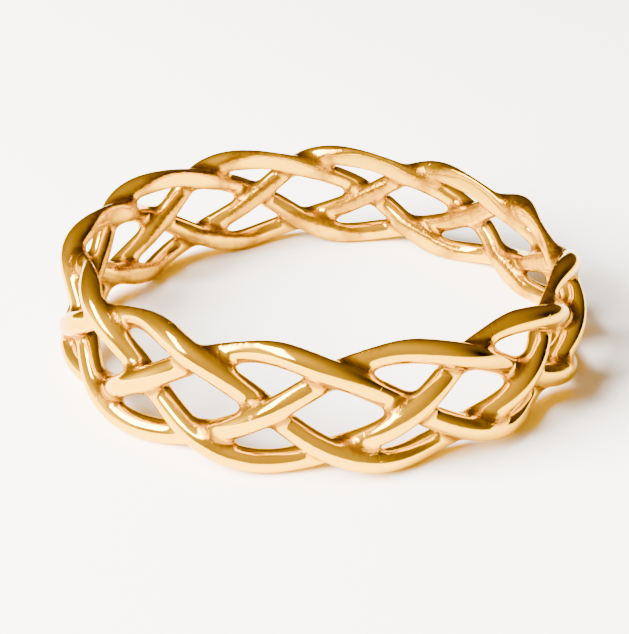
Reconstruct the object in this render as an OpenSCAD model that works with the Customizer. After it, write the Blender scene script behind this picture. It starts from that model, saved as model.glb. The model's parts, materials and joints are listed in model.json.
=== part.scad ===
// Finger ring: an openwork band of four round strands in a flat braid, cast in one piece.
// It lies on its side: the axis of the finger hole is Z and the ground is z = 0.

/* [Ring] */
// Inside diameter of the ring
finger_d = 17.3; // [15:0.1:20]
// Thickness of each round strand
strand_d = 0.85; // [0.8:0.01:0.92]
// Height between the middle of a strand at its top and at its foot
wave_h = 3.74; // [3.3:0.02:4.2]

/* [Braid] */
// How far a strand swings out or in where it crosses another
weave = 0.27; // [0.24:0.01:0.3]
// How much closer to the axis the strands run at the top, and farther at the foot
taper = 0.14; // [0.08:0.01:0.16]
// How far the band bulges outwards at half its height
bulge = 0.16; // [0.1:0.01:0.2]
// How much further a strand has turned round the finger at its top and foot than at half height
lobe_lead = 2.6; // [0:0.2:4]
// How deep the polished bore cuts into the strands where they reach in farthest
polish = 0.38; // [0.34:0.01:0.42]

/* [Smoothness] */
// Sides of the section of a strand
strand_sides = 10; // [8:2:12]
// Sections along each strand
strand_sections = 84; // [72:12:96]

/* [Hidden] */
$fn = 96;

// Each strand rises and falls this often on its one way round the finger
waves = 3;
strands = 4;
lobes = strands * waves;
lobe_angle = 360 / lobes;
// Seen from the front, the first top lobe stands a little left of the middle
first_lobe = -101;

// The casting was bent by hand, so its lobes stand a little unevenly. Judged by eye for each lobe,
// anticlockwise from the first: how far its top is turned (degrees), how far its top is lifted,
// and how far its foot is turned (degrees)
top_turn = 0;
top_lift = 1;
foot_turn = 2;
none = -1;
uneven = [
    [ 0.5,  0.20,  0.5],
    [-1.0,  0.05, -2.0],
    [-3.0, -0.20, -2.0],
    [-2.0, -0.50, -2.0],
    [ 2.0, -0.40,  0.0],
    [ 1.5, -0.25,  0.0],
    [ 3.0, -0.05,  0.0],
    [ 1.5,  0.05,  0.0],
    [ 0.0,  0.15,  0.0],
    [ 0.0,  0.20,  0.0],
    [ 3.0,  0.30,  0.0],
    [ 2.0,  0.30,  0.0]
];

// The weave is a slow swing and one three times as fast, in the shares that make a strand
// pass over at the first crossing on its way down, under at the second and over at the third
slow_share = (sqrt(2) - 1) / 2;
fast_share = slow_share + 1;
// The farthest that the two swings together reach, as a multiple of the weave, and where
farthest_at = 328;
farthest = -(slow_share * sin(farthest_at) + fast_share * sin(3 * farthest_at));
reach_in = farthest * weave + taper * cos(farthest_at) + bulge * cos(2 * farthest_at);

// Radius of the braid's middle line, so that the bore cuts as deep as asked
braid_r = finger_d / 2 - polish + strand_d / 2 + reach_in;

function swing(a) = weave * (slow_share * sin(a) + fast_share * sin(3 * a));

// A value of the table, blended from the top or foot before to the one after; a is the strand's phase
function half(a) = floor(a / 180);
function blend(a) = (1 - cos(a - 180 * half(a))) / 2;
function row(lobe, h) = (lobe + 2 * h + lobes) % lobes;
function cell(lobe, h, column) = column < 0 ? 0 : uneven[row(lobe, h)][column];
function at_lobe(lobe, h, top, foot) = h % 2 == 0 ? cell(lobe, h, top) : cell(lobe, h, foot);
function unevenness(lobe, a, top, foot) =
    (1 - blend(a)) * at_lobe(lobe, half(a), top, foot) + blend(a) * at_lobe(lobe, half(a) + 1, top, foot);

// A point of a strand's middle line: a runs through waves * 360 degrees, from the top of a lobe
function turned(lobe, a) =
    first_lobe + lobe * lobe_angle + a / waves + lobe_lead / 2 * cos(2 * a)
    + unevenness(lobe, a, top_turn, foot_turn);
function radius(a) = braid_r + swing(a) - taper * cos(a) - bulge * cos(2 * a);
function height(lobe, a) = strand_d / 2 + wave_h / 2 * (1 + cos(a)) + unevenness(lobe, a, top_lift, none);
function middle(lobe, a) =
    [radius(a) * cos(turned(lobe, a)), radius(a) * sin(turned(lobe, a)), height(lobe, a)];

function unit(v) = v / norm(v);
function along(lobe, a) = unit(middle(lobe, a + 1) - middle(lobe, a - 1));
function outward(lobe, a) =
    let (out = [cos(turned(lobe, a)), sin(turned(lobe, a)), 0], t = along(lobe, a))
    unit(out - (out * t) * t);

// The round section of a strand, square to its middle line, with its first corner at the lowest point
function section(lobe, a) =
    let (m = middle(lobe, a), u = outward(lobe, a), v = cross(along(lobe, a), u))
    [for (s = [0 : strand_sides - 1])
        let (b = 90 + 360 * s / strand_sides) m + strand_d / 2 * (cos(b) * u + sin(b) * v)];

function skin(i, s) =
    let (j = (i + 1) % strand_sections, t = (s + 1) % strand_sides, n = strand_sides)
    [[i * n + s, j * n + s, j * n + t], [i * n + s, j * n + t, i * n + t]];

module strand(lobe) {
    points = [
        for (i = [0 : strand_sections - 1])
            each section(lobe, 360 * waves * i / strand_sections)
    ];
    faces = [
        for (i = [0 : strand_sections - 1], s = [0 : strand_sides - 1])
            each skin(i, s)
    ];
    polyhedron(points, faces, convexity = 10);
}

module braid() {
    // Zeros keep every size: this only makes one skin of the strands
    resize([0, 0, 0])
        union() {
            for (lobe = [0 : strands - 1]) strand(lobe);
        }
}

module braided_band() {
    bore_h = wave_h + 6 * strand_d;
    color("goldenrod")
        difference() {
            braid();
            translate([0, 0, -strand_d]) cylinder(h = bore_h, d = finger_d);
        }
}

braided_band();
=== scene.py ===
import json
import math
import bmesh
import bpy
import numpy as np
from mathutils import Matrix, Vector


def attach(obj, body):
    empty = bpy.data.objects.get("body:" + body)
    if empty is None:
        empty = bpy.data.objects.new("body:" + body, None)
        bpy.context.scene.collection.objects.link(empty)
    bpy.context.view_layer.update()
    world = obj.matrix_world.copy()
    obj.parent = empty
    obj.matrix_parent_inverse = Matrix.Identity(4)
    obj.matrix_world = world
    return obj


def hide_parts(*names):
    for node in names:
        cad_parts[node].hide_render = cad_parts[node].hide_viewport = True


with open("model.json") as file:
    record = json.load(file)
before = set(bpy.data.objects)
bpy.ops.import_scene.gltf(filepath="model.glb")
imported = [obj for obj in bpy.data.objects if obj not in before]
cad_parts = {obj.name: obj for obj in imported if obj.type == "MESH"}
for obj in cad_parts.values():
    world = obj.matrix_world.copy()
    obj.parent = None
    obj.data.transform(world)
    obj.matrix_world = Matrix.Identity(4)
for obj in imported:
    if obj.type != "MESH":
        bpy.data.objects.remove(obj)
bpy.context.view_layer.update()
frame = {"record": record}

mm = 0.001  # the ring is modelled in millimetres and brought to metres at the end

# The braid, in millimetres and degrees. Its route is the one that the solid follows
braid = {
    "strandD": 0.85,  # round wire
    "waveH": 3.74,  # from the middle of a strand at its foot to its middle at the top
    "weave": 0.27,  # how far a strand swings out or in at a crossing
    "taper": 0.14,  # how much closer to the axis it runs at the top, and farther at the foot
    "bulge": 0.16,  # how far the band swells outwards at half its height
    "polish": 0.38,  # how deep the polished bore cuts into the strands
    "farthestAt": 328,  # the phase where a strand reaches in farthest
    "lobeLead": 2.6,  # how much further a strand has turned at its top and foot than at half height
    "firstLobe": -101,  # where the first lobe has its top
    "strands": 4,
    "waves": 3,  # times that a strand rises and falls on its way round
    "fingerR": frame["record"]["mounts"][0]["dims"]["r_mm"],
    # judged, a row for each lobe, anticlockwise: top turned, top lifted, foot turned
    "uneven": [
        [0.5, 0.20, 0.5],
        [-1.0, 0.05, -2.0],
        [-3.0, -0.20, -2.0],
        [-2.0, -0.50, -2.0],
        [2.0, -0.40, 0.0],
        [1.5, -0.25, 0.0],
        [3.0, -0.05, 0.0],
        [1.5, 0.05, 0.0],
        [0.0, 0.15, 0.0],
        [0.0, 0.20, 0.0],
        [3.0, 0.30, 0.0],
        [2.0, 0.30, 0.0],
    ],
}
topTurn, topLift, footTurn = 0, 1, 2  # its columns
lobeAngle = 360 / (braid["strands"] * braid["waves"])

# How the casting is finished, in millimetres
casting = {
    "sections": 216,  # circles swept along each strand
    "sides": 20,
    "grain": 0.095,  # the size of the faces that the strands are fused with
    "fillet": 0.4,  # reach of the metal that fills the corners between strands
    "boreEdge": 0.22,  # rounding left by polishing the bore
    "wallLeft": 0.42,  # how far out from the bore the sides of the windows are left as cast, satin and painted with shade
    "phaseStep": 1,  # degrees, over which the way along a strand is measured
    "searchSteps": 5,
    "settleSteps": 4,
    "smoothings": 2,
    "smoothing": 0.5,  # share of the way that a point goes towards its neighbours' middle
    "swell": 0.012,  # how far the hand-filed wire grows and shrinks along its way
    "swellWaves": (2, 5),  # a slow swell and a quick one, each this often in a rise and fall
    "swellShift": (2.1, 4.4),  # radians from one strand to the next, so that no two are alike
}


# how far the hand-bent lobes stand from even ones, blended from each top or foot to the next
def unevenness(lobe, phase, topColumn, footColumn=None):
    table = np.array(braid["uneven"])
    tops = table[:, topColumn]
    feet = np.zeros(len(table)) if footColumn is None else table[:, footColumn]
    half = np.floor(phase / 180).astype(int)
    blend = (1 - np.cos(np.radians(phase - 180 * half))) / 2

    def cell(h):
        row = (lobe + 2 * h) % len(table)
        return np.where(h % 2 == 0, tops[row], feet[row])

    return (1 - blend) * cell(half) + blend * cell(half + 1)


# the middle of a strand at each phase, 0 at the top of its first lobe
def strandMiddle(lobe, phase):
    a = np.radians(phase)
    slowShare = (math.sqrt(2) - 1) / 2
    fastShare = slowShare + 1
    farthestAt = math.radians(braid["farthestAt"])
    reachIn = (
        -(slowShare * math.sin(farthestAt) + fastShare * math.sin(3 * farthestAt)) * braid["weave"]
        + braid["taper"] * math.cos(farthestAt)
        + braid["bulge"] * math.cos(2 * farthestAt)
    )
    middleR = braid["fingerR"] - braid["polish"] + braid["strandD"] / 2 + reachIn
    swing = braid["weave"] * (slowShare * np.sin(a) + fastShare * np.sin(3 * a))
    r = middleR + swing - braid["taper"] * np.cos(a) - braid["bulge"] * np.cos(2 * a)
    turned = np.radians(
        braid["firstLobe"] + lobe * lobeAngle + phase / braid["waves"]
        + braid["lobeLead"] / 2 * np.cos(2 * a)
        + unevenness(lobe, phase, topTurn, footTurn)
    )
    rise = braid["waveH"] / 2 * (1 + np.cos(a))
    z = braid["strandD"] / 2 + rise + unevenness(lobe, phase, topLift)
    return np.stack([r * np.cos(turned), r * np.sin(turned), z], axis=-1)


# where a section of the wire stands, square to its way, with its first corner outwards
def sectionPlace(lobe, phase):
    step = casting["phaseStep"]
    before, here, after = (Vector(strandMiddle(lobe, np.array(phase + d))) for d in (-step, 0, step))
    along = (after - before).normalized()
    out = Vector((here.x, here.y, 0))
    out = (out - out.dot(along) * along).normalized()
    side = along.cross(out)
    turn = Matrix((out, side, along)).transposed().to_4x4()
    return Matrix.Translation(here) @ turn


def sweepStrand(bm, lobe):
    period = 360 * braid["waves"]
    place = sectionPlace(lobe, 0)
    circle = bmesh.ops.create_circle(
        bm, cap_ends=False, segments=casting["sides"], radius=braid["strandD"] / 2, matrix=place
    )["verts"]
    firstEdges = list({e for v in circle for e in v.link_edges})
    edges = firstEdges
    for i in range(1, casting["sections"]):
        grown = bmesh.ops.extrude_edge_only(bm, edges=edges)["geom"]
        verts = [g for g in grown if isinstance(g, bmesh.types.BMVert)]
        new = set(verts)
        edges = [g for g in grown if isinstance(g, bmesh.types.BMEdge) and set(g.verts) <= new]
        nextPlace = sectionPlace(lobe, period * i / casting["sections"])
        bmesh.ops.transform(bm, matrix=nextPlace @ place.inverted(), verts=verts)
        place = nextPlace
    bmesh.ops.bridge_loops(bm, edges=firstEdges + edges)


# where each point has its nearest point on a strand's middle line, and how thick the wire is there
def nearestOnStrand(points, lobe):
    turned = np.degrees(np.arctan2(points[:, 1], points[:, 0]))
    phase = braid["waves"] * ((turned - braid["firstLobe"] - lobe * lobeAngle) % 360)
    halfStep = casting["phaseStep"] / 2
    for _ in range(casting["searchSteps"]):
        middle = strandMiddle(lobe, phase)
        step = strandMiddle(lobe, phase + halfStep) - strandMiddle(lobe, phase - halfStep)
        steps = ((points - middle) * step).sum(1) / (step * step).sum(1)
        phase = phase + steps * casting["phaseStep"]
    turns = np.radians(phase)
    slow, quick = (
        np.sin(waves * turns + shift * lobe)
        for waves, shift in zip(casting["swellWaves"], casting["swellShift"])
    )
    swell = casting["swell"] * (slow + quick) / 2
    return strandMiddle(lobe, phase), braid["strandD"] / 2 + swell


# for each point, the distance to the skin of the casting, the way out from it, and how far the skin
# there lies in a corner between strands or on the side of a window near the bore: left as cast and
# satin there, and painted with shade
def skinField(points):
    far = np.empty((len(points), braid["strands"]))
    ways = np.empty((len(points), braid["strands"], 3))
    for lobe in range(braid["strands"]):
        middle, wireR = nearestOnStrand(points, lobe)
        away = points - middle
        length = np.linalg.norm(away, axis=1)
        far[:, lobe] = length - wireR
        ways[:, lobe] = away / length[:, None]
    order = np.argsort(far, axis=1)
    rows = np.arange(len(points))
    depth, way = far[rows, order[:, 0]], ways[rows, order[:, 0]]
    recess = np.zeros(len(points))
    for k in range(1, braid["strands"]):
        other, otherWay = far[rows, order[:, k]], ways[rows, order[:, k]]
        share = np.clip(1 - (other - depth) / casting["fillet"], 0, 1) / 2
        recess = np.maximum(recess, 2 * share)
        depth = depth - casting["fillet"] * share**2
        way = (1 - share)[:, None] * way + share[:, None] * otherWay
    flat = points * [1, 1, 0]
    axisR = np.linalg.norm(flat, axis=1)
    boreDepth = braid["fingerR"] - axisR
    boreWay = -flat / axisR[:, None]
    share = np.clip(1 - np.abs(depth - boreDepth) / casting["boreEdge"], 0, 1) / 2
    bored = boreDepth > depth
    weight = np.where(bored, 1 - share, share)
    wall = np.clip(1 + boreDepth / casting["wallLeft"], 0, 1)
    recess = np.maximum(recess, wall) * (1 - weight)
    depth = np.maximum(depth, boreDepth) + casting["boreEdge"] * share**2
    weight = weight[:, None]
    return depth, (1 - weight) * way + weight * boreWay, recess


def settleOnSkin(mesh):
    points = np.empty(len(mesh.vertices) * 3)
    mesh.vertices.foreach_get("co", points)
    points = points.reshape(-1, 3)
    for _ in range(casting["settleSteps"]):
        depth, way, recess = skinField(points)
        points = points - depth[:, None] * way / (way * way).sum(1)[:, None]
    mesh.vertices.foreach_set("co", points.ravel())
    mesh.update()
    return recess


def makeBand():
    bm = bmesh.new()
    for lobe in range(braid["strands"]):
        sweepStrand(bm, lobe)
    for v in bm.verts:  # the bore is pressed flat before the strands are fused
        r = math.hypot(v.co.x, v.co.y)
        if r < braid["fingerR"]:
            v.co.xy *= braid["fingerR"] / r
    bmesh.ops.recalc_face_normals(bm, faces=bm.faces)
    rough = bpy.data.meshes.new("roughStrands")
    bm.to_mesh(rough)
    bm.free()
    roughBand = bpy.data.objects.new("roughBand", rough)
    bpy.context.scene.collection.objects.link(roughBand)
    fuse = roughBand.modifiers.new("fuse", "REMESH")
    fuse.mode = "VOXEL"
    fuse.voxel_size = casting["grain"]
    evaluated = roughBand.evaluated_get(bpy.context.evaluated_depsgraph_get())
    fused = bpy.data.meshes.new_from_object(evaluated)
    bpy.data.objects.remove(roughBand)
    bpy.data.meshes.remove(rough)
    settleOnSkin(fused)
    bm = bmesh.new()
    bm.from_mesh(fused)
    for _ in range(casting["smoothings"]):  # evens out the faces, which then go back to the skin
        bmesh.ops.smooth_vert(
            bm, verts=bm.verts, factor=casting["smoothing"],
            use_axis_x=True, use_axis_y=True, use_axis_z=True,
        )
    bm.to_mesh(fused)
    bm.free()
    recess = settleOnSkin(fused)
    fused.attributes.new("recess", "FLOAT", "POINT").data.foreach_set("value", recess)
    fused.transform(Matrix.Scale(mm, 4))
    fused.polygons.foreach_set("use_smooth", [True] * len(fused.polygons))
    fused.name = "braidedBand"
    band = bpy.data.objects.new("braidedBand", fused)
    bpy.context.scene.collection.objects.link(band)
    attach(band, "root")
    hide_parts("braided_band")
    triangles = sum(len(p.vertices) - 2 for p in fused.polygons)
    print("band fused,", len(fused.vertices), "points,", triangles, "triangles")
    return band


# an sRGB hex colour as the linear one that nodes work in
def linear(hexColour):
    channels = [int(hexColour[i:i + 2], 16) / 255 for i in (1, 3, 5)]
    return [c / 12.92 if c <= 0.04045 else ((c + 0.055) / 1.055) ** 2.4 for c in channels] + [1]


# adds a node with its settings, and gives each of its sockets a value or a link
def addNode(tree, kind, sockets, **settings):
    node = tree.nodes.new(kind)
    for name, value in settings.items():
        setattr(node, name, value)
    for socket, value in sockets.items():
        if isinstance(value, bpy.types.NodeSocket):
            tree.links.new(value, node.inputs[socket])
        else:
            node.inputs[socket].default_value = value
    return node


mixA, mixB, mixed = 6, 7, 2  # a Mix node's two colours, and the colour that it gives


def newMaterial(name):
    material = bpy.data.materials.new(name)
    material.use_nodes = True
    tree = material.node_tree
    tree.nodes.clear()
    return material, tree


# Cast yellow gold, polished: mirror-like and warm where the wheel reached. Where it did not, in the
# corners between strands and on the sides of the windows, it is satin, and there its colour is painted
# a darker orange as painted shade.
# Faint ripples, pits and hairlines catch the light. Sizes are in millimetres
polishedGold = {
    "colour": "#ffd69e",
    # painted shade: the corners between strands and the window sides are drawn in this darker, orange
    # gold
    "paintedShadeColour": "#a86c1e",
    "roughness": 0.085,
    "worn": 0.05,  # added where handling dulled the polish
    "wornFrom": 0.45,  # of the noise that says where; below this it is untouched
    "wornFull": 0.7,
    "wearSize": 3.0,
    "wearDetail": 3,
    "recessRoughness": 0.24,
    "recessFrom": 0.4,
    "recessFull": 1.0,
    "raggedness": 0.5,  # how unevenly the satin of the corners ends
    "raggedSize": 0.35,
    "raggedDetail": 2,
    "rippleSize": 1.1,
    "rippleDetail": 3,
    "rippleDepth": 0.008,
    "grainSize": 0.16,  # skin of the casting, drawn about twice as coarse as it is so that it shows
    "grainDetail": 3,
    "grainDepth": 0.03,
    "pitSpacing": 1.0,
    "pitSize": 0.08,
    "pitBottom": 0.3,  # share of its width that is flat
    "pitDepth": 0.035,
    "withoutPit": 0.4,  # share of the places that have none
    "hairlineSpacing": 2.6,
    "hairlineWidth": 0.022,  # drawn half a pixel wide, about twice its real width
    "hairlineDepth": 0.003,
    "scuffSize": 1.7,  # patches that have hairlines
    "scuffDetail": 1,
    "scuffFrom": 0.54,
    "scuffFull": 0.6,
}


def makePolishedGold():
    look = polishedGold
    material, tree = newMaterial("polishedGold")
    place = addNode(tree, "ShaderNodeTexCoord", {}).outputs["Object"]
    recess = addNode(tree, "ShaderNodeAttribute", {}, attribute_name="recess").outputs["Fac"]
    noises = {}
    for name in ("ragged", "wear", "ripple", "grain", "scuff"):
        scale = 1 / (look[name + "Size"] * mm)
        noises[name] = addNode(
            tree, "ShaderNodeTexNoise",
            {"Vector": place, "Scale": scale, "Detail": look[name + "Detail"]},
        ).outputs["Fac"]

    # the corners and window sides, whose satin and painted shade end in a ragged line
    ragged = addNode(
        tree, "ShaderNodeMath",
        {0: noises["ragged"], 1: look["raggedness"], 2: recess},
        operation="MULTIPLY_ADD",
    ).outputs[0]
    corner = addNode(
        tree, "ShaderNodeMapRange",
        {"Value": ragged, "From Min": look["recessFrom"], "From Max": look["recessFull"]},
        interpolation_type="SMOOTHSTEP",
    ).outputs["Result"]
    worn = addNode(
        tree, "ShaderNodeMapRange",
        {"Value": noises["wear"], "From Min": look["wornFrom"], "From Max": look["wornFull"]},
        interpolation_type="SMOOTHSTEP",
    ).outputs["Result"]

    # the height of the skin, in millimetres: ripples, grain in the corners, then pits and hairlines
    ripple = addNode(
        tree, "ShaderNodeMath",
        {0: noises["ripple"], 1: look["rippleDepth"]},
        operation="MULTIPLY",
    ).outputs[0]
    grain = addNode(
        tree, "ShaderNodeMath",
        {0: noises["grain"], 1: corner},
        operation="MULTIPLY",
    ).outputs[0]
    skin = addNode(
        tree, "ShaderNodeMath",
        {0: grain, 1: look["grainDepth"], 2: ripple},
        operation="MULTIPLY_ADD",
    ).outputs[0]
    pits = addNode(
        tree, "ShaderNodeTexVoronoi",
        {"Vector": place, "Scale": 1 / (look["pitSpacing"] * mm)},
    )
    pitReach = look["pitSize"] / look["pitSpacing"]
    bottomReach = pitReach * look["pitBottom"]
    pitShape = addNode(
        tree, "ShaderNodeMapRange",
        {"Value": pits.outputs["Distance"], "From Min": pitReach, "From Max": bottomReach},
        interpolation_type="SMOOTHSTEP",
    ).outputs["Result"]
    drawn = addNode(
        tree, "ShaderNodeSeparateColor",
        {"Color": pits.outputs["Color"]},
    ).outputs["Red"]
    chosen = addNode(
        tree, "ShaderNodeMath",
        {0: drawn, 1: look["withoutPit"]},
        operation="GREATER_THAN",
    ).outputs[0]
    pit = addNode(
        tree, "ShaderNodeMath",
        {0: pitShape, 1: chosen},
        operation="MULTIPLY",
    ).outputs[0]
    pitted = addNode(
        tree, "ShaderNodeMath",
        {0: pit, 1: -look["pitDepth"], 2: skin},
        operation="MULTIPLY_ADD",
    ).outputs[0]
    net = addNode(
        tree, "ShaderNodeTexVoronoi",
        {"Vector": place, "Scale": 1 / (look["hairlineSpacing"] * mm)},
        feature="DISTANCE_TO_EDGE",
    ).outputs["Distance"]
    lineReach = look["hairlineWidth"] / look["hairlineSpacing"]
    line = addNode(
        tree, "ShaderNodeMapRange",
        {"Value": net, "From Min": lineReach, "From Max": 0},
        interpolation_type="SMOOTHSTEP",
    ).outputs["Result"]
    scuffed = addNode(
        tree, "ShaderNodeMapRange",
        {"Value": noises["scuff"], "From Min": look["scuffFrom"], "From Max": look["scuffFull"]},
        interpolation_type="SMOOTHSTEP",
    ).outputs["Result"]
    hairline = addNode(
        tree, "ShaderNodeMath",
        {0: line, 1: scuffed},
        operation="MULTIPLY",
    ).outputs[0]
    height = addNode(
        tree, "ShaderNodeMath",
        {0: hairline, 1: -look["hairlineDepth"], 2: pitted},
        operation="MULTIPLY_ADD",
    ).outputs[0]
    bump = addNode(
        tree, "ShaderNodeBump",
        {"Height": height, "Distance": mm, "Strength": 1},
    ).outputs["Normal"]

    # painted shade: the gold is darkened to orange in the corners between strands and on the window
    # sides
    colour = addNode(
        tree, "ShaderNodeMix",
        {0: corner, mixA: linear(look["colour"]), mixB: linear(look["paintedShadeColour"])},
        data_type="RGBA",
    ).outputs[mixed]
    dulled = addNode(
        tree, "ShaderNodeMath",
        {0: worn, 1: look["worn"], 2: look["roughness"]},
        operation="MULTIPLY_ADD",
    ).outputs[0]
    roughness = addNode(
        tree, "ShaderNodeMath",
        {0: corner, 1: look["recessRoughness"] - look["roughness"], 2: dulled},
        operation="MULTIPLY_ADD",
    ).outputs[0]
    gold = addNode(
        tree, "ShaderNodeBsdfPrincipled",
        {"Base Color": colour, "Metallic": 1, "Roughness": roughness, "Normal": bump},
    ).outputs["BSDF"]
    addNode(tree, "ShaderNodeOutputMaterial", {"Surface": gold})
    return material


# Matt white board: it takes the ring's shadow softly, and shows in the gold as a pale cream band
board = {
    "colour": "#f4f1ec",
    "roughness": 0.9,
    "size": 0.6,  # metres
}


def makeFloor():
    bm = bmesh.new()
    bmesh.ops.create_grid(bm, x_segments=1, y_segments=1, size=board["size"] / 2)
    mesh = bpy.data.meshes.new("floor")
    bm.to_mesh(mesh)
    bm.free()
    floor = bpy.data.objects.new("floor", mesh)
    bpy.context.scene.collection.objects.link(floor)
    material, tree = newMaterial("whiteBoard")
    paper = addNode(
        tree, "ShaderNodeBsdfPrincipled",
        {"Base Color": linear(board["colour"]), "Roughness": board["roughness"]},
    ).outputs["BSDF"]
    addNode(tree, "ShaderNodeOutputMaterial", {"Surface": paper})
    mesh.materials.append(material)
    print("floor laid")


# The photograph's view, in millimetres, degrees and pixels of its 629 x 634 frame
view = {
    "distance": 57.1,
    "elevation": 27.0,
    "roll": 0.5,
    "focalPixels": 1485,
    "ringAt": (321.4, 287.4),  # where the middle of the ring shows
    "frameSize": (629, 634),
    "sensorWidth": 36,
    "nearest": 1,  # nothing nearer or farther than these is drawn
    "farthest": 10000,
}


def makeCamera():
    data = bpy.data.cameras.new("camera")
    camera = bpy.data.objects.new("camera", data)
    bpy.context.scene.collection.objects.link(camera)
    bpy.context.scene.camera = camera
    width, height = view["frameSize"]
    data.sensor_fit = "HORIZONTAL"
    data.sensor_width = view["sensorWidth"]
    data.lens = view["focalPixels"] * data.sensor_width / width
    data.clip_start = view["nearest"] * mm
    data.clip_end = view["farthest"] * mm
    elevation = math.radians(view["elevation"])
    middle = Vector((0, 0, (braid["strandD"] + braid["waveH"]) / 2))
    back = Vector((0, -math.cos(elevation), math.sin(elevation)))
    place = middle + view["distance"] * back
    aim = Matrix.Rotation(math.radians(90) - elevation, 4, "X")
    roll = Matrix.Rotation(math.radians(-view["roll"]), 4, "Z")
    offAxis = Vector((
        (view["ringAt"][0] - width / 2) / view["focalPixels"],
        -(view["ringAt"][1] - height / 2) / view["focalPixels"],
        -1,
    ))
    swing = offAxis.rotation_difference(Vector((0, 0, -1))).to_matrix().to_4x4()
    camera.matrix_world = Matrix.Translation(place * mm) @ aim @ roll @ swing
    print("camera placed")


# The room round the ring: dim, pale low on the left and overhead, darker on the right and far sides.
# Bearings turn clockwise from straight away from the camera, heights are above the horizon, in degrees
room = {
    "base": 0.3,
    "colour": "#ffdcc0",
    "fill": "#fff4e6",  # what the board gets from the whole room: even and weak, the gold sees the rest
    "fillStrength": 0.4,
    "lampDistance": 250,  # millimetres
}
# Soft patches of its walls: tightness is how small one is, strength how much it adds or takes away
patches = {
    "windowWall": {"bearing": -130, "height": 55, "tightness": 6, "strength": 0.7, "colour": "#fffaf2"},
    "lowLeft": {"bearing": -100, "height": 0, "tightness": 10, "strength": 3.5, "colour": "#fffaf2"},
    "leftWall": {"bearing": -70, "height": 35, "tightness": 4, "strength": 0.4, "colour": "#fff3e4"},
    "behindCamera": {"bearing": 170, "height": 5, "tightness": 2, "strength": 0.6, "colour": "#fff3e4"},
    "darkRight": {"bearing": 80, "height": 10, "tightness": 6, "strength": -0.3, "colour": "#ffdcc0"},
    "darkBack": {"bearing": 5, "height": 0, "tightness": 5, "strength": -0.22, "colour": "#ffdcc0"},
    "ceiling": {"bearing": 180, "height": 75, "tightness": 3, "strength": 0.4, "colour": "#fff0de"},
}
# The window shows in the gold. Most of the light on the board comes from two wider sources below it,
# which don't show in the gold. How wide and high each looks, and its lean, are in degrees too
lamps = {
    "window": {
        "bearing": -115, "height": 48, "wide": 17, "high": 50, "lean": 45, "watts": 2.4, "inGold": True,
    },
    "beam": {
        "bearing": -108, "height": 36, "wide": 36, "high": 24, "lean": 0, "watts": 5.0, "inGold": False,
    },
    "lowBeam": {
        "bearing": -117, "height": 18, "wide": 36, "high": 20, "lean": 0, "watts": 3.6, "inGold": False,
    },
}


def towards(bearing, height):
    b, h = math.radians(bearing), math.radians(height)
    return Vector((math.sin(b) * math.cos(h), math.cos(b) * math.cos(h), math.sin(h)))


def glow(colour, strength):
    return [c * strength for c in linear(colour)[:3]]


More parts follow.
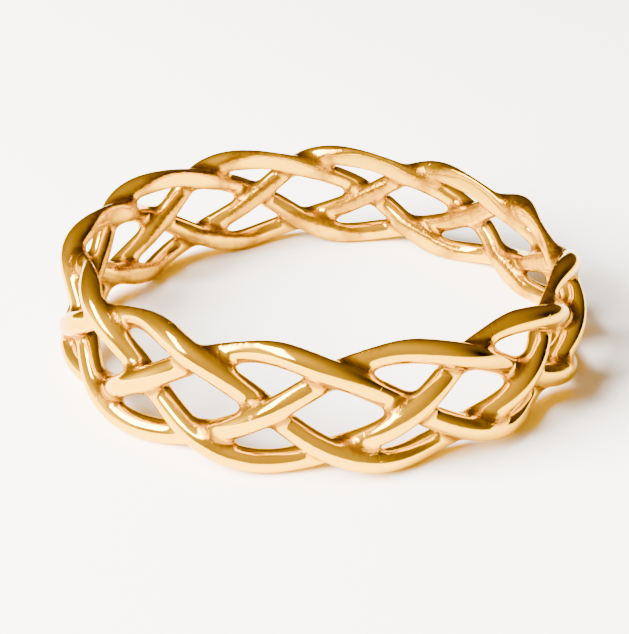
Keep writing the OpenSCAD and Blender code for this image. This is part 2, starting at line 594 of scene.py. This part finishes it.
def makeRoom():
    world = bpy.data.worlds.new("room")
    bpy.context.scene.world = world
    world.use_nodes = True
    tree = world.node_tree
    tree.nodes.clear()
    way = addNode(tree, "ShaderNodeTexCoord", {}).outputs["Generated"]
    total = glow(room["colour"], room["base"])
    for patch in patches.values():
        middle = towards(patch["bearing"], patch["height"])
        facing = addNode(
            tree, "ShaderNodeVectorMath",
            {0: way, 1: middle},
            operation="DOT_PRODUCT",
        ).outputs["Value"]
        front = addNode(
            tree, "ShaderNodeMath",
            {0: facing, 1: 0},
            operation="MAXIMUM",
        ).outputs[0]
        tight = addNode(
            tree, "ShaderNodeMath",
            {0: front, 1: patch["tightness"]},
            operation="POWER",
        ).outputs[0]
        total = addNode(
            tree, "ShaderNodeVectorMath",
            {0: tight, 1: glow(patch["colour"], patch["strength"]), 2: total},
            operation="MULTIPLY_ADD",
        ).outputs["Vector"]
    onBoard = addNode(tree, "ShaderNodeLightPath", {}).outputs["Is Diffuse Ray"]
    fill = glow(room["fill"], room["fillStrength"]) + [1]
    seen = addNode(
        tree, "ShaderNodeMix",
        {0: onBoard, mixA: total, mixB: fill},
        data_type="RGBA",
    ).outputs[mixed]
    sky = addNode(tree, "ShaderNodeBackground", {"Color": seen}).outputs["Background"]
    addNode(tree, "ShaderNodeOutputWorld", {"Surface": sky})
    print("room made")


def makeLamp(name):
    lamp = lamps[name]
    distance = room["lampDistance"] * mm
    data = bpy.data.lights.new(name, "AREA")
    data.shape = "RECTANGLE"
    data.size = 2 * distance * math.tan(math.radians(lamp["wide"] / 2))
    data.size_y = 2 * distance * math.tan(math.radians(lamp["high"] / 2))
    data.energy = lamp["watts"]
    thing = bpy.data.objects.new(name, data)
    way = towards(lamp["bearing"], lamp["height"])
    thing.location = distance * way
    facing = (-way).to_track_quat("-Z", "Y").to_matrix()
    lean = Matrix.Rotation(math.radians(lamp["lean"]), 3, "Z")
    thing.rotation_euler = (facing @ lean).to_euler()
    thing.visible_camera = False
    thing.visible_glossy = lamp["inGold"]
    bpy.context.scene.collection.objects.link(thing)
    print(name, "lit")


# How the picture is developed: richer colours, with the reds of gold seen in gold brought back to
# yellow, then the screen's own film-like curve
grade = {
    "transform": "AgX",
    "look": "None",
    "richness": 1.5,
    "goldHue": 0.075,
    "redToGold": 0.022,  # how far pure red turns towards gold; less, the closer a hue is to gold
}


def makeGrade():
    scene = bpy.context.scene
    scene.view_settings.view_transform = grade["transform"]
    scene.view_settings.look = grade["look"]
    scene.use_nodes = True
    tree = scene.node_tree
    tree.nodes.clear()
    picture = addNode(tree, "CompositorNodeRLayers", {}).outputs["Image"]
    rich = addNode(tree, "CompositorNodeHueCorrect", {"Image": picture})
    neutral = 0.5  # the level at which these curves change nothing
    hueCurve, richCurve = rich.mapping.curves[0], rich.mapping.curves[1]
    hueCurve.points[0].location = (0, neutral + grade["redToGold"])
    hueCurve.points.new(grade["goldHue"], neutral)
    for point in hueCurve.points:
        point.handle_type = "VECTOR"
    for point in richCurve.points:
        point.location = (point.location[0], neutral * grade["richness"])
    rich.mapping.update()
    addNode(tree, "CompositorNodeComposite", {"Image": rich.outputs["Image"]})
    print("picture graded")


makeGrade()
makeFloor()
makeCamera()
makeRoom()
for name in lamps:
    makeLamp(name)
band = makeBand()
band.data.materials.append(makePolishedGold())
print("gold given")
